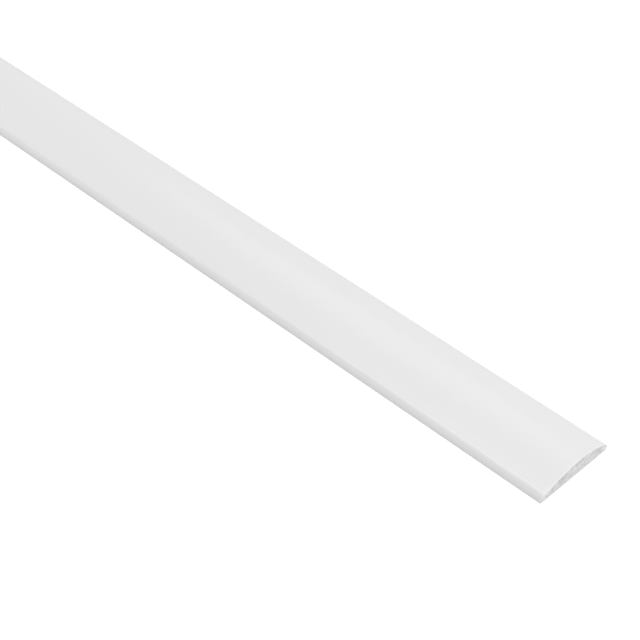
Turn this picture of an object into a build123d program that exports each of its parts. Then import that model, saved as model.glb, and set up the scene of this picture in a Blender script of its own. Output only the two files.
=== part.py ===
from build123d import *
from math import asin, cos, pi, sin
import os

# Flat trim strip: a straight length of solid foamed-plastic moulding, extruded in one piece.
# Its section is a flattened half oval. The back is flat and goes against the wall, the face is
# a low crown, and a round shoulder runs from the crown down to a short land at each long edge.
# The strip lies on its back. X runs along it, Y across it, and Z up out of the back.
# The origin is the middle of the back. All sizes are in millimetres.

# Driving dimensions
LENGTH = 2400.0          # one stock length, sawn square at both ends
WIDTH = 30.0             # across the back, from long edge to long edge
THICKNESS = 5.0          # from the back to the top of the crown
SHOULDER_RADIUS = 1.85   # round shoulder between the crown and the land
EDGE_LAND = 0.25         # upright flat of each long edge, under the shoulder
BACK_ARRIS = 0.15        # eased corner between the land and the back

# Angles from straight up, towards the +Y edge
LEVEL = pi / 2
DOWNWARD = pi


def crown_radius():
    """Radius of the crown, which peaks at the thickness and runs smoothly into each shoulder.

    A shoulder's circle touches the crown's from inside, so their centres are as far apart as the
    difference of the two radii. The crown's centre is on the middle line, and that fixes it.
    """
    across = WIDTH / 2 - SHOULDER_RADIUS
    rise = THICKNESS - EDGE_LAND - BACK_ARRIS
    return (across**2 + rise**2 - SHOULDER_RADIUS**2) / (2 * (rise - SHOULDER_RADIUS))


def on_circle(centre, radius, angle):
    """Point of a circle at an angle from straight up."""
    return centre[0] + radius * sin(angle), centre[1] + radius * cos(angle)


def arc(centre, radius, start, end):
    """Arc of a circle between two angles from straight up."""
    return ThreePointArc(
        on_circle(centre, radius, start),
        on_circle(centre, radius, (start + end) / 2),
        on_circle(centre, radius, end),
    )


def half_outline():
    """The section's +Y half, from the top of the crown to the middle of the back."""
    crown = crown_radius()
    crown_centre = (0, THICKNESS - crown)
    shoulder_centre = (WIDTH / 2 - SHOULDER_RADIUS, BACK_ARRIS + EDGE_LAND)
    arris_centre = (WIDTH / 2 - BACK_ARRIS, BACK_ARRIS)
    tangent = asin(shoulder_centre[0] / (crown - SHOULDER_RADIUS))
    return [
        arc(crown_centre, crown, 0, tangent),
        arc(shoulder_centre, SHOULDER_RADIUS, tangent, LEVEL),
        Line((WIDTH / 2, BACK_ARRIS + EDGE_LAND), (WIDTH / 2, BACK_ARRIS)),
        arc(arris_centre, BACK_ARRIS, LEVEL, DOWNWARD),
        Line((arris_centre[0], 0), (0, 0)),
    ]


def section():
    """The whole section at the -X end, as a face: one half and its mirror image."""
    with BuildSketch(Plane.YZ.offset(-LENGTH / 2)) as sketch:
        with BuildLine():
            for piece in half_outline():
                add(piece)
            mirror(about=Plane.YZ)
        make_face()
    return sketch.sketch


def trim_strip():
    """The strip: its section carried along the whole length, from the -X end to the +X end."""
    return extrude(section(), LENGTH)


def main():
    strip = trim_strip()
    os.makedirs("parts", exist_ok=True)
    export_step(strip, "parts/trim_strip.step")
    print("crown radius", round(crown_radius(), 3))
    print("faces", len(strip.faces()))
    print("section area", round(section().area, 3))
    print("volume over section times length", strip.volume / (section().area * LENGTH))


main()
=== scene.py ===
"""Looks of a flat trim strip of foamed plastic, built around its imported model.

The strip is one extruded piece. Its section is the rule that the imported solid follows: a low crown,
two round shoulders, a short land at each long edge and a flat back. Here it gets its sawn ends, with
the open cells of the foam, its eased end arrises, and the finishes of its skin and of its cut foam.
All sizes are in metres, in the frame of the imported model.
"""

from __future__ import annotations

import logging
import math
from dataclasses import dataclass
from enum import Enum

import bpy
import numpy as np
from mathutils import Matrix, Vector


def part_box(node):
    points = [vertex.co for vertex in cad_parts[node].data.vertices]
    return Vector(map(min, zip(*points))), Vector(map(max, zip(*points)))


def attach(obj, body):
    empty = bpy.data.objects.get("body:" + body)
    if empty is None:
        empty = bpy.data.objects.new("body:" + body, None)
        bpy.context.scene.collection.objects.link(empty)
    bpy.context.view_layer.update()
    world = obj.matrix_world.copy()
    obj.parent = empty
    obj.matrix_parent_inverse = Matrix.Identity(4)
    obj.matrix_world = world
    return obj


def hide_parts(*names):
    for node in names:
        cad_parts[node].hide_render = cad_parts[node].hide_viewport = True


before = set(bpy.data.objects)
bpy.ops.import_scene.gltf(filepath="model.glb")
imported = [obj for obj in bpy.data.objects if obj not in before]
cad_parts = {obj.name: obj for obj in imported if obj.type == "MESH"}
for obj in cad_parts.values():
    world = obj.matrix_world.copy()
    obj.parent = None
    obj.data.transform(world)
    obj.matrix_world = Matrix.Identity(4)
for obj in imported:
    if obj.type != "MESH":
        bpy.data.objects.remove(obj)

NODE = "trim_strip"
BODY = "root"
MM = 0.001
QUARTER_TURN = math.pi / 2
NOISE_MIDDLE = 0.5  # what a noise texture gives on average
TOUCHING = 0.001 * MM  # points closer than this count as one

log = logging.getLogger("trim_strip")


class CellMeasure(Enum):
    """What is measured in a pattern of irregular cells: the texture's feature, and its output."""

    WALL = ("DISTANCE_TO_EDGE", "Distance")
    CHANCE = ("F1", "Color")


class Signal:
    """An output socket of a node that Python's operators work on."""

    def __init__(self, graph: Graph, socket: bpy.types.NodeSocket) -> None:
        """Keeps the socket and the graph it belongs to.

        Args:
            graph: The graph that new Math nodes are added to.
            socket: The output socket.
        """
        self.graph = graph
        self.socket = socket

    def math(self, operation: str, *others: Signal | float) -> Signal:
        """One Math node with this signal as its first value.

        Args:
            operation: The Math node's operation.
            others: The node's other values.

        Returns:
            The node's result.
        """
        return self.graph.math(operation, self, *others)

    def __add__(self, other: Signal | float) -> Signal:
        """This signal plus another."""
        return self.math("ADD", other)

    def __radd__(self, other: float) -> Signal:
        """A number plus this signal."""
        return self.math("ADD", other)

    def __sub__(self, other: Signal | float) -> Signal:
        """This signal minus another."""
        return self.math("SUBTRACT", other)

    def __rsub__(self, other: float) -> Signal:
        """A number minus this signal."""
        return self.graph.math("SUBTRACT", other, self)

    def __mul__(self, other: Signal | float) -> Signal:
        """This signal times another."""
        return self.math("MULTIPLY", other)

    def __rmul__(self, other: float) -> Signal:
        """A number times this signal."""
        return self.math("MULTIPLY", other)

    def __truediv__(self, other: Signal | float) -> Signal:
        """This signal over another."""
        return self.math("DIVIDE", other)


class Graph:
    """A node tree that is written as Python expressions."""

    def __init__(self, tree: bpy.types.NodeTree) -> None:
        """Keeps the tree.

        Args:
            tree: A shader's or a geometry's node tree.
        """
        self.tree = tree

    def node(
        self, kind: str, settings: dict | None = None, values: dict | None = None
    ) -> bpy.types.Node:
        """Adds one node.

        Args:
            kind: The node's type.
            settings: The node's own properties, set before its sockets.
            values: A value or Signal for each input, by name or place.

        Returns:
            The node.
        """
        made = self.tree.nodes.new(kind)
        for name, value in (settings or {}).items():
            setattr(made, name, value)
        for key, value in (values or {}).items():
            if isinstance(value, Signal):
                self.tree.links.new(value.socket, made.inputs[key])
            else:
                made.inputs[key].default_value = value
        return made

    def signal(
        self, kind: str, settings: dict | None = None, values: dict | None = None, output: str | int = 0
    ) -> Signal:
        """Adds one node and takes one of its outputs.

        Args:
            kind: The node's type.
            settings: The node's own properties.
            values: A value or Signal for each input, by name or place.
            output: The output's name or place.

        Returns:
            The output.
        """
        return Signal(self, self.node(kind, settings, values).outputs[output])

    def math(self, operation: str, *values: Signal | float) -> Signal:
        """Adds a Math node.

        Args:
            operation: The node's operation.
            values: Its values, in order.

        Returns:
            The node's result.
        """
        return self.signal("ShaderNodeMath", {"operation": operation}, dict(enumerate(values)))

    def lowest(self, first: Signal | float, *rest: Signal | float) -> Signal:
        """The lowest of two or more values.

        Args:
            first: One value.
            rest: The others.

        Returns:
            The lowest.
        """
        for other in rest:
            first = self.math("MINIMUM", first, other)
        return first

    def highest(self, first: Signal | float, *rest: Signal | float) -> Signal:
        """The highest of two or more values.

        Args:
            first: One value.
            rest: The others.

        Returns:
            The highest.
        """
        for other in rest:
            first = self.math("MAXIMUM", first, other)
        return first

    def vector(self, x: Signal | float, y: Signal | float, z: Signal | float) -> Signal:
        """A vector from its three parts."""
        return self.signal("ShaderNodeCombineXYZ", values={0: x, 1: y, 2: z})

    def parts(self, vector: Signal) -> tuple[Signal, ...]:
        """A vector's three parts."""
        split = self.node("ShaderNodeSeparateXYZ", values={0: vector})
        return tuple(Signal(self, socket) for socket in split.outputs)

    def stretch(self, vector: Signal, scale: tuple[float, float, float]) -> Signal:
        """A vector with each part multiplied by a factor of its own."""
        return self.signal("ShaderNodeVectorMath", {"operation": "MULTIPLY"}, {0: vector, 1: scale})

    def step(self, value: Signal, low: float, high: float) -> Signal:
        """A smooth step.

        Args:
            value: What is mapped.
            low: Where the step starts, and the result is 0.
            high: Where the step ends, and the result is 1.

        Returns:
            The mapped value.
        """
        return self.signal(
            "ShaderNodeMapRange",
            {"interpolation_type": "SMOOTHSTEP"},
            {"Value": value, "From Min": low, "From Max": high},
        )

    def noise(self, place: Signal, size: float, detail: float = 2.0) -> Signal:
        """Fractal noise of about 0 to 1.

        Args:
            place: Where it is read.
            size: About how wide its largest features are.
            detail: How many finer layers are added.

        Returns:
            The noise.
        """
        values = {"Vector": place, "Scale": 1 / size, "Detail": detail}
        return self.signal("ShaderNodeTexNoise", values=values)

    def stirred(self, place: Signal, size: float, reach: float) -> Signal:
        """A place that noise pushes about, so that a pattern read there is uneven.

        Args:
            place: The place.
            size: About how wide the noise's features are.
            reach: The furthest that it pushes.

        Returns:
            The moved place.
        """
        values = {"Vector": place, "Scale": 1 / size}
        cloud = self.signal("ShaderNodeTexNoise", values=values, output="Color")
        spread = {0: cloud, 1: (2 * reach,) * 3, 2: (-reach,) * 3}
        push = self.signal("ShaderNodeVectorMath", {"operation": "MULTIPLY_ADD"}, spread)
        return self.signal("ShaderNodeVectorMath", {"operation": "ADD"}, {0: place, 1: push})

    def cells(self, place: Signal, size: float, measure: CellMeasure) -> Signal:
        """A pattern of irregular cells.

        Args:
            place: Where it is read.
            size: About how wide a cell is.
            measure: What is measured in the cell.

        Returns:
            How far the nearest cell wall is, in cell sizes, or the cell's own chance from 0 to 1.
        """
        feature, output = measure.value
        values = {"Vector": place, "Scale": 1 / size}
        found = self.signal("ShaderNodeTexVoronoi", {"feature": feature}, values, output)
        return self.parts(found)[0] if measure is CellMeasure.CHANCE else found

    def mix(self, factor: Signal | float, first: Signal | tuple, second: Signal | tuple) -> Signal:
        """A mix of two colours, whose sockets are the Mix node's inputs 6 and 7 and output 2."""
        return self.signal("ShaderNodeMix", {"data_type": "RGBA"}, {0: factor, 6: first, 7: second}, 2)

    def attribute(self, name: str) -> Signal:
        """A number stored on the mesh, as a shader reads it."""
        return self.signal("ShaderNodeAttribute", {"attribute_name": name}, output="Fac")

    def stored(self, name: str) -> Signal:
        """A number stored on the mesh, as a geometry tree reads it."""
        return self.signal("GeometryNodeInputNamedAttribute", {"data_type": "FLOAT"}, {"Name": name})

    def relief(self, height: Signal) -> Signal:
        """A normal bent by a height in metres."""
        return self.signal("ShaderNodeBump", values={"Strength": 1.0, "Distance": 1.0, "Height": height})


def grey(value: float) -> tuple[float, float, float, float]:
    """An opaque neutral colour."""
    return (value, value, value, 1.0)


class Finish:
    """A material that is written as a graph and ends in one Principled shader."""

    name: str

    def material(self) -> bpy.types.Material:
        """Builds the material.

        Returns:
            The new material.
        """
        made = bpy.data.materials.new(self.name)
        made.use_nodes = True
        made.node_tree.nodes.clear()
        graph = Graph(made.node_tree)
        shader = graph.signal("ShaderNodeBsdfPrincipled", values=self.sockets(graph))
        graph.node("ShaderNodeOutputMaterial", values={"Surface": shader})
        return made

    def sockets(self, graph: Graph) -> dict:
        """The values and signals of the shader's sockets."""
        raise NotImplementedError


@dataclass(frozen=True)
class SatinSkin(Finish):
    """The smooth skin that the extrusion die leaves: satin white, with faint draw lines along it.

    Its colour holds painted shade, a little greyer on the shoulders and under them, where handling has also
    rubbed it a little duller, and a painted highlight, a little paler beside both ends, which are
    half_length from the middle.
    """

    half_length: float
    name: str = "satin_skin"
    whiteness: float = 0.80
    cloud_size: float = 45 * MM
    cloud_depth: float = 0.010
    line_width: float = 0.7 * MM
    line_length: float = 160 * MM
    line_depth: float = 0.006
    gloss: float = 0.26
    gloss_change: float = 0.04
    peel_size: float = 1.1 * MM
    peel_height: float = 0.0016 * MM
    line_height: float = 0.0022 * MM
    painted_shade_depth: float = 0.05
    rub_gloss: float = 0.20
    shade_and_rub_low: float = 1.65 * MM  # full painted shade and fully rubbed up to this height
    shade_and_rub_high: float = 2.25 * MM  # neither painted shade nor rubbed above it
    shade_and_rub_uneven: float = 0.3 * MM
    shade_and_rub_size: float = 9 * MM
    painted_highlight_gain: float = 0.055
    highlight_full: float = 0.20 * MM  # full painted highlight this near to an end
    highlight_end: float = 0.50 * MM  # no painted highlight further from it

    def sockets(self, graph: Graph) -> dict:
        """The skin's colour, gloss and relief.

        Args:
            graph: The material's graph.

        Returns:
            The Principled shader's values.
        """
        place = graph.signal("ShaderNodeTexCoord", output="Object")
        clouds = graph.noise(place, self.cloud_size)
        along = (1 / self.line_length, 1 / self.line_width, 1 / self.line_width)
        lines = graph.noise(graph.stretch(place, along), 1.0, detail=3.0)
        peel = graph.noise(place, self.peel_size, detail=1.0)
        x, _, height = graph.parts(place)
        # painted highlight: the skin's colour is paler close to either end, for the light caught along the
        # end arrises
        painted_highlight = 1 - graph.step(self.half_length - x.math("ABSOLUTE"), self.highlight_full, self.highlight_end)
        uneven = height + self.shade_and_rub_uneven * (graph.noise(place, self.shade_and_rub_size) - NOISE_MIDDLE)
        # painted shade: the shoulders and the faces under them are coloured greyer; the same mask makes
        # them rougher
        shaded_and_rubbed = 1 - graph.step(uneven, self.shade_and_rub_low, self.shade_and_rub_high)
        shade = self.whiteness + self.cloud_depth * (clouds - NOISE_MIDDLE)
        shade = shade + self.line_depth * (lines - NOISE_MIDDLE)
        # painted shade greys the shoulders, and a painted highlight makes the skin paler beside both ends
        shade = shade - self.painted_shade_depth * shaded_and_rubbed + self.painted_highlight_gain * painted_highlight
        roughness = self.gloss + self.gloss_change * (lines - NOISE_MIDDLE) + self.rub_gloss * shaded_and_rubbed
        return {
            "Base Color": graph.vector(shade, shade, shade),
            "Roughness": roughness,
            "Normal": graph.relief(self.peel_height * peel + self.line_height * lines),
        }


@dataclass(frozen=True)
class SawnFoam(Finish):
    """The sawn end: a dense rim, and inside it the open pits and fine closed cells of the foam, coloured
    darker in the pits and hollows as painted shade.
    """

    name: str = "sawn_foam"
    rim_shade: float = 0.66
    wall_shade: float = 0.88
    # painted shade: the colour of a pit's floor, darker for the shade inside it
    painted_pit_shade: float = 0.55
    fleck_shade: float = 0.98
    rim_start: float = 0.20 * MM  # nothing but rim this near to the outline
    rim_end: float = 0.60 * MM  # nothing but core further in
    cell_size: float = 0.52 * MM
    cell_wall: float = 0.05  # in cell sizes from the middle of the wall, as is the floor
    cell_floor: float = 0.30
    # how far a fine cell's hollow goes towards the pit colour, as painted shade
    hollow_shade_share: float = 0.8
    cell_height: float = 0.04 * MM
    fleck_size: float = 0.55 * MM
    fleck_start: float = 0.50
    fleck_end: float = 0.60
    kerf_pitch: float = 0.55 * MM
    kerf_slant: float = 0.35
    kerf_height: float = 0.006 * MM
    dullness: float = 0.72

    def sockets(self, graph: Graph) -> dict:
        """The sawn foam's colour, dullness and relief.

        Args:
            graph: The material's graph.

        Returns:
            The Principled shader's values.
        """
        place = graph.signal("ShaderNodeTexCoord", output="Object")
        core = graph.step(graph.attribute("skin_depth"), self.rim_start, self.rim_end)
        pit = graph.attribute("pit")
        wall = graph.cells(place, self.cell_size, CellMeasure.WALL)
        hollow = core * graph.step(wall, self.cell_wall, self.cell_floor)
        speckle = graph.noise(place, self.fleck_size)
        fleck = (1 - pit) * graph.step(speckle, self.fleck_start, self.fleck_end)
        _, across, up = graph.parts(place)
        kerf = graph.noise(graph.vector(0.0, across * self.kerf_slant + up, 0.0), self.kerf_pitch)
        walls = graph.mix(fleck, grey(self.wall_shade), grey(self.fleck_shade))
        # painted shade: pits and cell hollows are coloured darker than the walls
        inside = graph.mix(graph.highest(hollow * self.hollow_shade_share, pit), walls, grey(self.painted_pit_shade))
        return {
            "Base Color": graph.mix(core, grey(self.rim_shade), inside),
            "Roughness": self.dullness,
            "Normal": graph.relief(self.kerf_height * kerf - self.cell_height * hollow),
        }


@dataclass(frozen=True)
class Section:
    """The strip's section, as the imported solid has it."""

    width: float
    thickness: float
    shoulder_radius: float = 1.85 * MM
    edge_land: float = 0.25 * MM
    back_arris: float = 0.15 * MM

    @property
    def land_top(self) -> float:
        """Height of the shoulder's centre, where the upright land ends."""
        return self.back_arris + self.edge_land

    @property
    def crown_radius(self) -> float:
        """Radius of the crown's arc, which runs smoothly into both shoulders.

        Returns:
            The radius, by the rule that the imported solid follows.
        """
        across = self.width / 2 - self.shoulder_radius
        rise = self.thickness - self.land_top
        return (across**2 + rise**2 - self.shoulder_radius**2) / (2 * (rise - self.shoulder_radius))

    @property
    def tangent(self) -> float:
        """Angle from straight up at which the crown meets a shoulder."""
        across = self.width / 2 - self.shoulder_radius
        return math.asin(across / (self.crown_radius - self.shoulder_radius))

    def girth_at(self, across: np.ndarray, up: np.ndarray) -> np.ndarray:
        """How far points of the face side lie from the top of the crown, along the outline.

        Args:
            across: The points' places across the strip.
            up: Their heights.

        Returns:
            The lengths, negative on the -Y side.
        """
        side = np.abs(across)
        crown_turn = np.arctan2(side, up - self.thickness + self.crown_radius)
        shoulder_turn = np.arctan2(side - self.width / 2 + self.shoulder_radius, up - self.land_top)
        shoulder_turn = np.clip(shoulder_turn - self.tangent, 0, QUARTER_TURN - self.tangent)
        land = np.clip(self.land_top - up, 0, None)
        length = self.crown_radius * np.minimum(crown_turn, self.tangent)
        return np.sign(across) * (length + self.shoulder_radius * shoulder_turn + land)


@dataclass(frozen=True)
class SawnEnd:
    """One sawn end as a flat mesh of quads that fills the section and follows its outline."""

    columns: int = 240
    rows: int = 40

    def group(self) -> bpy.types.NodeTree:
        """Builds the node group of an end that looks along +X, with its place and sizes as inputs.

        Returns:
            The group. Its mesh stores how deep under the outline each point lies, as skin_depth.
        """
        tree = bpy.data.node_groups.new("sawn_end", "GeometryNodeTree")
        for name in ("Place", "Width", "Thickness", "Shoulder Radius", "Edge Land", "Back Arris"):
            tree.interface.new_socket(name, in_out="INPUT", socket_type="NodeSocketFloat")
        tree.interface.new_socket("Mesh", in_out="OUTPUT", socket_type="NodeSocketGeometry")
        graph = Graph(tree)
        entry = graph.node("NodeGroupInput")
        given = {socket.name: Signal(graph, socket) for socket in entry.outputs}
        width, thickness = given["Width"], given["Thickness"]
        radius, land, arris = given["Shoulder Radius"], given["Edge Land"], given["Back Arris"]

        rise = thickness - land - arris
        across = width / 2 - radius
        crown = (across * across + rise * rise - radius * radius) / (2 * (rise - radius))
        tangent = (across / (crown - radius)).math("ARCSINE")

        counts = {"Vertices X": self.columns + 1, "Vertices Y": self.rows + 1}
        square = graph.signal("GeometryNodeMeshGrid", values={"Size X": 1.0, "Size Y": 1.0, **counts})
        u, v, _ = graph.parts(graph.signal("GeometryNodeInputPosition"))
        u, v = u + 0.5, v + 0.5  # the grid is a unit square about the origin
        side_to_side = 2 * u - 1

        angle = side_to_side * tangent
        crown_y = crown * angle.math("SINE")
        crown_z = thickness - crown + crown * angle.math("COSINE")
        corner_y = across + radius * tangent.math("SINE")
        corner_z = arris + land + radius * tangent.math("COSINE")

        arris_length = arris * QUARTER_TURN
        travelled = v * (arris_length + land + radius * (QUARTER_TURN - tangent))
        turned = graph.lowest(travelled, arris_length) / arris
        climbed = graph.lowest(graph.highest(travelled - arris_length, 0.0), land)
        rounded = graph.highest(travelled - arris_length - land, 0.0) / radius
        side_y = width / 2 - arris * (1 - turned.math("SINE")) - radius * (1 - rounded.math("COSINE"))
        side_z = arris * (1 - turned.math("COSINE")) + climbed + radius * rounded.math("SINE")

        y = v * crown_y + side_to_side * (side_y - v * corner_y)
        z = side_z + v * (crown_z - corner_z)
        depth = graph.lowest(v * crown_z, (1 - v) * crown_z, u * width, (1 - u) * width)

        depth_values = {"Geometry": square, "Name": "skin_depth", "Value": depth}
        stored = graph.signal("GeometryNodeStoreNamedAttribute", {"data_type": "FLOAT"}, depth_values)
        place = graph.vector(given["Place"], y, z)
        placed = graph.signal("GeometryNodeSetPosition", values={"Geometry": stored, "Position": place})
        graph.node("NodeGroupOutput", values={"Mesh": placed})
        return tree


@dataclass(frozen=True)
class SawnRelief:
    """What the saw leaves in the ends: torn pits in the core, and a faintly nibbled arris.

    The pits keep out of the dense rim, and get deeper towards the thick middle of the section.
    """

    pit_size: float = 0.9 * MM
    pit_depth: float = 0.16 * MM
    pit_wall: float = 0.03  # in pit sizes from the middle of the wall, as is the floor
    pit_floor: float = 0.15
    shallow: float = 0.10  # depth of a cell that isn't torn open, as a share of a pit's
    scarce: float = 0.35  # a cell whose chance is lower isn't torn open at all
    common: float = 0.60  # a cell whose chance is higher is torn to its full depth
    stir_size: float = 0.8 * MM
    stir_reach: float = 0.35 * MM
    rim: float = 0.35 * MM
    coarse_depth: float = 0.8 * MM  # how far under the outline the pits are at their deepest
    nibble: float = 0.04 * MM
    nibble_size: float = 0.5 * MM
    nibble_start: float = 0.45
    nibble_end: float = 0.80
    end_reach: float = 0.01 * MM  # what lies this near to the end is the end

    def cut(self, graph: Graph, mesh: Signal, half_length: Signal, seed: Signal) -> Signal:
        """Sinks the pits and the nibbles into both ends.

        Args:
            graph: The strip's graph.
            mesh: The flat-ended strip.
            half_length: Where its ends are.
            seed: Moves the pattern.

        Returns:
            The mesh with the relief, and with each pit's share of its depth stored as pit.
        """
        x, y, z = graph.parts(graph.signal("GeometryNodeInputPosition"))
        at_end = (half_length - x.math("ABSOLUTE")).math("LESS_THAN", self.end_reach)
        depth = graph.stored("skin_depth")
        core = graph.step(depth, self.rim, self.coarse_depth)
        spot = graph.vector(x + seed, y, z)
        torn = graph.stirred(spot, self.stir_size, self.stir_reach)
        wall = graph.cells(torn, self.pit_size, CellMeasure.WALL)
        floor = graph.step(wall, self.pit_wall, self.pit_floor)
        chance = graph.cells(torn, self.pit_size, CellMeasure.CHANCE)
        torn_open = graph.step(chance, self.scarce, self.common)
        pit = at_end * core * floor * (self.shallow + (1 - self.shallow) * torn_open)
        chips = graph.step(graph.noise(spot, self.nibble_size), self.nibble_start, self.nibble_end)
        sunk = at_end * (self.pit_depth * pit + self.nibble * chips * (1 - core))
        stored = graph.signal(
            "GeometryNodeStoreNamedAttribute",
            {"data_type": "FLOAT"},
            {"Geometry": mesh, "Name": "pit", "Value": pit},
        )
        offset = graph.vector(-1 * sunk * x.math("SIGN"), 0.0, 0.0)
        return graph.signal("GeometryNodeSetPosition", values={"Geometry": stored, "Offset": offset})


@dataclass(frozen=True)
class BakeSheet:
    """The strip's UV map: its length cut in bands that are stacked on a square, and its ends enlarged."""

    section: Section
    length: float
    bands: int = 6
    gap: float = 0.8 * MM
    enlarged: float = 6.0
    facing_down: float = -0.95  # a normal with a lower Z belongs to the back
    name: str = "OFBake"

    def lay_out(self, mesh: bpy.types.Mesh, foam_index: int) -> None:
        """Adds the UV map to the finished mesh.

        Args:
            mesh: The strip's mesh.
            foam_index: The material index of its sawn ends.
        """
        corners = len(mesh.loops)
        vertex_of = np.zeros(corners, np.int32)
        mesh.loops.foreach_get("vertex_index", vertex_of)
        points = np.zeros(len(mesh.vertices) * 3)
        mesh.vertices.foreach_get("co", points)
        x, y, z = points.reshape(-1, 3)[vertex_of].T
        faces = len(mesh.polygons)
        per_face = np.zeros(faces, np.int32)
        mesh.polygons.foreach_get("loop_total", per_face)
        centres, normals, slots = np.zeros(faces * 3), np.zeros(faces * 3), np.zeros(faces, np.int32)
        mesh.polygons.foreach_get("center", centres)
        mesh.polygons.foreach_get("normal", normals)
        mesh.polygons.foreach_get("material_index", slots)
        middle = np.repeat(centres.reshape(-1, 3)[:, 0], per_face)
        faces_down = np.repeat(normals.reshape(-1, 3)[:, 2], per_face) < self.facing_down
        is_end = np.repeat(slots, per_face) == foam_index

        section = self.section
        face_width = 2 * float(section.girth_at(np.array(section.width / 2), np.array(0.0)))
        pitch = face_width + section.width + 2 * self.gap
        side = self.bands * pitch + self.enlarged * section.thickness + 2 * self.gap
        band_length = self.length / self.bands
        band = np.clip(np.floor((middle + self.length / 2) / band_length), 0, self.bands - 1)
        along = x + self.length / 2 - band * band_length + self.gap
        face_up = band * pitch + face_width / 2 + section.girth_at(y, z)
        back_up = band * pitch + face_width + self.gap + section.width / 2 + y
        end_along = self.enlarged * (y + section.width / 2) + self.gap
        end_along += np.where(middle > 0, self.enlarged * section.width + self.gap, 0.0)
        end_up = self.bands * pitch + self.gap + self.enlarged * z
        across = np.where(is_end, end_along, along)
        up = np.where(is_end, end_up, np.where(faces_down, back_up, face_up)) + self.gap / 2
        layer = mesh.uv_layers.new(name=self.name)
        layer.uv.foreach_set("vector", (np.stack([across, up], 1) / side).astype(np.float32).ravel())


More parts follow.
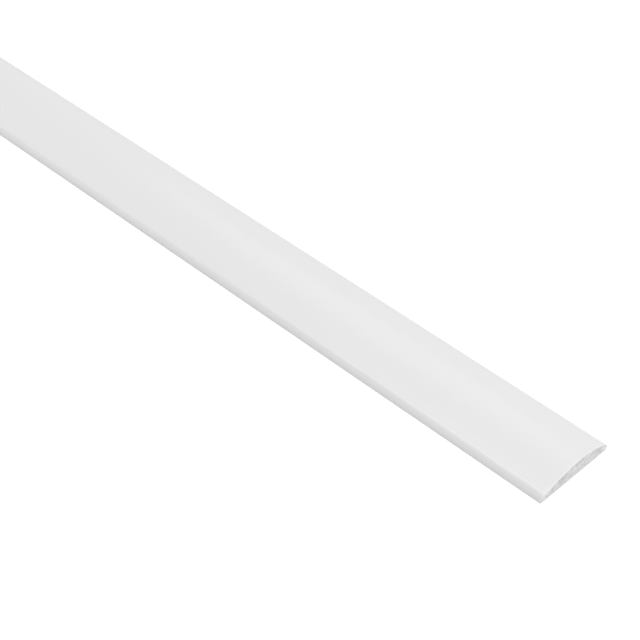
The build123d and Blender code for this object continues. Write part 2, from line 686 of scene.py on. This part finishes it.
@dataclass(frozen=True)
class TrimStrip:
    """The strip itself: its skin drawn from end to end, and its two sawn ends."""

    length: float
    section: Section
    end: SawnEnd
    relief: SawnRelief
    spans: int = 24
    border: float = 0.5 * MM
    arris: float = 0.16 * MM
    arris_facets: int = 3
    outline_reach: float = 0.125 * MM  # edges this near to an end can be on its outline
    foam_reach: float = 0.225 * MM  # faces this near to an end are sawn foam
    single_sided: float = 1.5  # an edge with fewer faces than this is on the outline
    seed: float = 0.37

    def tree(self) -> bpy.types.NodeTree:
        """Builds the strip's tree: one end, its outline drawn out along the length, and the other end.

        Returns:
            The tree, with the strip's sizes, its seed and its finishes as inputs.
        """
        tree = bpy.data.node_groups.new("trim_strip", "GeometryNodeTree")
        floats = ("Length", "Width", "Thickness", "Shoulder Radius", "Edge Land", "Back Arris", "Seed")
        for name in floats:
            tree.interface.new_socket(name, in_out="INPUT", socket_type="NodeSocketFloat")
        for name in ("Skin", "Foam"):
            tree.interface.new_socket(name, in_out="INPUT", socket_type="NodeSocketMaterial")
        tree.interface.new_socket("Strip", in_out="OUTPUT", socket_type="NodeSocketGeometry")
        graph = Graph(tree)
        entry = graph.node("NodeGroupInput")
        given = {socket.name: Signal(graph, socket) for socket in entry.outputs}
        half = given["Length"] / 2

        sizes = {name: given[name] for name in floats[1:-1]}
        group = {"node_tree": self.end.group()}
        near = graph.signal("GeometryNodeGroup", group, {"Place": half, **sizes})
        near = graph.signal("GeometryNodeSetMaterial", values={"Geometry": near, "Material": given["Skin"]})
        far = graph.signal("GeometryNodeTransform", values={"Geometry": near, "Scale": (-1.0, 1.0, 1.0)})
        far = graph.signal("GeometryNodeFlipFaces", values={"Mesh": far})

        faces_on_edge = graph.signal("GeometryNodeInputMeshEdgeNeighbors")
        outline = faces_on_edge.math("LESS_THAN", self.single_sided)
        mesh, edge = self.draw(graph, near, outline, -self.border)
        start = graph.node("GeometryNodeRepeatInput", values={"Iterations": self.spans})
        finish = graph.node("GeometryNodeRepeatOutput")
        start.pair_with_output(finish)
        finish.repeat_items.new("BOOLEAN", "Edge")
        tree.links.new(mesh.socket, start.inputs["Geometry"])
        tree.links.new(edge.socket, start.inputs["Edge"])
        span = (given["Length"] - 2 * self.border) / -self.spans
        drawn = Signal(graph, start.outputs["Geometry"]), Signal(graph, start.outputs["Edge"])
        mesh, edge = self.draw(graph, *drawn, span)
        tree.links.new(mesh.socket, finish.inputs["Geometry"])
        tree.links.new(edge.socket, finish.inputs["Edge"])
        drawn = Signal(graph, finish.outputs["Geometry"]), Signal(graph, finish.outputs["Edge"])
        mesh, _ = self.draw(graph, *drawn, -self.border)

        joined = graph.node("GeometryNodeJoinGeometry", values={"Geometry": mesh})
        tree.links.new(far.socket, joined.inputs["Geometry"])
        seams = {"Geometry": Signal(graph, joined.outputs["Geometry"]), "Distance": TOUCHING}
        whole = graph.signal("GeometryNodeMergeByDistance", values=seams)
        whole = self.relief.cut(graph, whole, half, given["Seed"])
        whole = self.mark_arrises(graph, whole, half)

        x, _, _ = graph.parts(graph.signal("GeometryNodeInputPosition"))
        is_end = (half - x.math("ABSOLUTE")).math("LESS_THAN", self.foam_reach)
        whole = graph.signal("GeometryNodeRealizeInstances", values={"Geometry": whole})
        foam = {"Geometry": whole, "Selection": is_end, "Material": given["Foam"]}
        whole = graph.signal("GeometryNodeSetMaterial", values=foam)
        graph.node("NodeGroupOutput", values={"Strip": whole})
        return tree

    def draw(
        self, graph: Graph, mesh: Signal, edges: Signal, distance: Signal | float
    ) -> tuple[Signal, Signal]:
        """Draws edges out along X.

        Args:
            graph: The strip's graph.
            mesh: The mesh they belong to.
            edges: Which edges.
            distance: How far.

        Returns:
            The mesh with the new faces, and which edges are its new outline.
        """
        offset = graph.vector(distance, 0.0, 0.0)
        values = {"Mesh": mesh, "Selection": edges, "Offset": offset}
        made = graph.node("GeometryNodeExtrudeMesh", {"mode": "EDGES"}, values)
        return Signal(graph, made.outputs["Mesh"]), Signal(graph, made.outputs["Top"])

    def mark_arrises(self, graph: Graph, mesh: Signal, half: Signal) -> Signal:
        """Marks the outline of both ends for the Bevel modifier.

        Args:
            graph: The strip's graph.
            mesh: The whole strip.
            half: Half its length.

        Returns:
            The mesh with the edges' bevel weights.
        """
        x, _, _ = graph.parts(graph.signal("GeometryNodeInputPosition"))
        depth = graph.stored("skin_depth")
        near_end = (half - x.math("ABSOLUTE")).math("LESS_THAN", self.outline_reach)
        on_outline = depth.math("LESS_THAN", TOUCHING)
        values = {"Geometry": mesh, "Name": "bevel_weight_edge", "Value": near_end * on_outline}
        settings = {"data_type": "FLOAT", "domain": "EDGE"}
        return graph.signal("GeometryNodeStoreNamedAttribute", settings, values)

    def make(self, skin: bpy.types.Material, foam: bpy.types.Material) -> bpy.types.Object:
        """Builds the strip as a plain mesh.

        Args:
            skin: The finish of its long faces.
            foam: The finish of its sawn ends.

        Returns:
            The strip's object, at the origin.
        """
        rough = bpy.data.objects.new("strip_rough", bpy.data.meshes.new("strip_rough"))
        bpy.context.scene.collection.objects.link(rough)
        shape = rough.modifiers.new("shape", "NODES")
        shape.node_group = self.tree()
        given = {
            "Length": self.length,
            "Width": self.section.width,
            "Thickness": self.section.thickness,
            "Shoulder Radius": self.section.shoulder_radius,
            "Edge Land": self.section.edge_land,
            "Back Arris": self.section.back_arris,
            "Seed": self.seed,
            "Skin": skin,
            "Foam": foam,
        }
        for socket in shape.node_group.interface.items_tree:
            if socket.in_out == "INPUT":
                shape[socket.identifier] = given[socket.name]
        ease = rough.modifiers.new("eased_arrises", "BEVEL")
        ease.limit_method = "WEIGHT"
        ease.width = self.arris
        ease.segments = self.arris_facets
        depsgraph = bpy.context.evaluated_depsgraph_get()
        mesh = bpy.data.meshes.new_from_object(
            rough.evaluated_get(depsgraph), preserve_all_data_layers=True, depsgraph=depsgraph
        )
        bpy.data.objects.remove(rough)
        mesh.name = "strip"
        mesh.materials.pop(index=0)  # the rough mesh had an empty slot
        mesh.shade_smooth()
        strip = bpy.data.objects.new("strip", mesh)
        bpy.context.scene.collection.objects.link(strip)
        BakeSheet(self.section, self.length).lay_out(mesh, mesh.materials.find(foam.name))
        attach(strip, BODY)
        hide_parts(NODE)
        return strip


@dataclass(frozen=True)
class Lamp:
    """A square studio lamp, hung in a direction from the point that it looks at.

    Its azimuth is in degrees from +Y towards +X, its elevation in degrees above the floor, and its
    power in watts.
    """

    name: str
    azimuth: float
    elevation: float
    distance: float
    size: float
    power: float

    def hang(self, target: Vector) -> bpy.types.Object:
        """Hangs the lamp.

        Args:
            target: The point that it looks at.

        Returns:
            Its object.
        """
        light = bpy.data.lights.new(self.name, "AREA")
        light.shape = "SQUARE"
        light.size = self.size
        light.energy = self.power
        turn, lift = math.radians(self.azimuth), math.radians(self.elevation)
        way = Vector((math.sin(turn) * math.cos(lift), math.cos(turn) * math.cos(lift), math.sin(lift)))
        lamp = bpy.data.objects.new(self.name, light)
        lamp.location = target + self.distance * way
        lamp.rotation_mode = "QUATERNION"
        lamp.rotation_quaternion = (-way).to_track_quat("-Z", "Y")
        bpy.context.scene.collection.objects.link(lamp)
        return lamp


@dataclass(frozen=True)
class Studio:
    """A plain pale floor, a white surround and soft lamps."""

    floor_size: float = 40.0
    floor_shade: float = 0.80
    floor_glow: float = 0.46  # brings the lit floor up to white where it is seen
    mirrored_glow: float = 0.12  # the same, in a reflection
    surround: float = 0.70
    lamps: tuple[Lamp, ...] = (
        Lamp("overhead", azimuth=270, elevation=75, distance=3.0, size=1.3, power=2.4),
        Lamp("back_softbox", azimuth=330, elevation=38, distance=3.0, size=1.3, power=2.5),
        Lamp("front_softbox", azimuth=225, elevation=30, distance=3.0, size=2.6, power=10.8),
        Lamp("end_softbox", azimuth=70, elevation=30, distance=0.45, size=0.3, power=0.46),
        Lamp("shoulder_light", azimuth=220, elevation=73, distance=0.7, size=0.3, power=0.65),
    )

    def seen(self, graph: Graph) -> tuple[Signal, Signal]:
        """Tells apart the rays that show the background from those that only carry light.

        Args:
            graph: A material's or the world's graph.

        Returns:
            1 for a ray from the camera or through glass, and 1 for a ray from a reflection.
        """
        path = graph.node("ShaderNodeLightPath")
        names = ("Is Camera Ray", "Is Glossy Ray", "Is Transmission Ray")
        camera, glossy, through = (Signal(graph, path.outputs[name]) for name in names)
        return graph.highest(camera, through), glossy

    def floor(self) -> bpy.types.Object:
        """Lays the floor, which shows white and keeps the object's shadow.

        Returns:
            The floor's object.
        """
        half = self.floor_size / 2
        mesh = bpy.data.meshes.new("floor")
        corners = [(-half, -half, 0), (half, -half, 0), (half, half, 0), (-half, half, 0)]
        mesh.from_pydata(corners, [], [(0, 1, 2, 3)])
        material = bpy.data.materials.new("floor")
        material.use_nodes = True
        material.node_tree.nodes.clear()
        graph = Graph(material.node_tree)
        paint = graph.signal("ShaderNodeBsdfDiffuse", values={"Color": grey(self.floor_shade)})
        direct, mirrored = self.seen(graph)
        strength = self.floor_glow * direct + self.mirrored_glow * mirrored
        glow = graph.signal("ShaderNodeEmission", values={"Strength": strength})
        both = graph.signal("ShaderNodeAddShader", values={0: paint, 1: glow})
        graph.node("ShaderNodeOutputMaterial", values={"Surface": both})
        mesh.materials.append(material)
        floor = bpy.data.objects.new("floor", mesh)
        bpy.context.scene.collection.objects.link(floor)
        return floor

    def world(self) -> bpy.types.World:
        """Makes the surround: white where it is seen, and soft light elsewhere.

        Returns:
            The world.
        """
        world = bpy.data.worlds.new("surround")
        world.use_nodes = True
        world.node_tree.nodes.clear()
        graph = Graph(world.node_tree)
        strength = self.surround + (1 - self.surround) * graph.highest(*self.seen(graph))
        sky = graph.signal("ShaderNodeBackground", values={"Color": grey(1.0), "Strength": strength})
        graph.node("ShaderNodeOutputWorld", values={"Surface": sky})
        bpy.context.scene.world = world
        return world


@dataclass(frozen=True)
class PhotoCamera:
    """The photograph's camera, by where it puts the near base corner of the strip's +X end.

    Its angles are in degrees. The corner's column and row, the focal length and the frame's width are
    in pixels, and the corner's depth is in metres ahead of the camera.
    """

    frame_width: float = 640.0
    focal_length: float = 1259.5
    azimuth: float = 31.34
    look_down: float = 32.88
    roll: float = 15.41
    corner_column: float = 540.08
    corner_row: float = 504.06
    corner_depth: float = 0.26695
    sensor: float = 36.0
    clip_start: float = 10 * MM

    def place(self, corner: Vector) -> bpy.types.Object:
        """Places the camera.

        Args:
            corner: The strip's near base corner.

        Returns:
            The camera's object.
        """
        turn, dip, roll = (math.radians(a) for a in (self.azimuth, self.look_down, self.roll))
        ahead = Vector((-math.sin(turn) * math.cos(dip), math.cos(turn) * math.cos(dip), -math.sin(dip)))
        level = Vector((math.cos(turn), math.sin(turn), 0))
        upright = level.cross(ahead)
        right = level * math.cos(roll) + upright * math.sin(roll)
        up = upright * math.cos(roll) - level * math.sin(roll)
        middle = self.frame_width / 2
        to_right = (self.corner_column - middle) / self.focal_length
        to_down = (self.corner_row - middle) / self.focal_length
        eye = corner - self.corner_depth * (ahead + right * to_right - up * to_down)

        data = bpy.data.cameras.new("camera")
        data.sensor_width = self.sensor
        data.lens = self.focal_length * self.sensor / self.frame_width
        data.clip_start = self.clip_start
        camera = bpy.data.objects.new("camera", data)
        turned = Matrix((right, up, -ahead)).transposed()
        camera.matrix_world = Matrix.Translation(eye) @ turned.to_4x4()
        bpy.context.scene.collection.objects.link(camera)
        bpy.context.scene.camera = camera
        return camera


def main() -> None:
    """Builds the camera, the strip and the studio in order, and reports each piece."""
    logging.basicConfig(level=logging.INFO, format="%(name)s: %(message)s")
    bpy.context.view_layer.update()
    low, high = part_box(NODE)
    size = high - low

    camera = PhotoCamera().place(Vector((high.x, low.y, low.z)))
    log.info("camera at %s", [round(c, 4) for c in camera.location])

    section = Section(width=size.y, thickness=size.z)
    strip = TrimStrip(size.x, section, SawnEnd(), SawnRelief()).make(
        SatinSkin(size.x / 2).material(), SawnFoam().material()
    )
    triangles = sum(len(p.vertices) - 2 for p in strip.data.polygons)
    log.info("%s: %d triangles, %s", strip.name, triangles, [m.name for m in strip.data.materials])

    studio = Studio()
    studio.world()
    log.info("%s laid", studio.floor().name)
    for lamp in studio.lamps:
        hung = lamp.hang(Vector((high.x, 0, high.z)))
        log.info("%s hung at %s", hung.name, [round(c, 3) for c in hung.location])

    bpy.context.scene.view_settings.view_transform = "Standard"


if __name__ == "__main__":
    main()
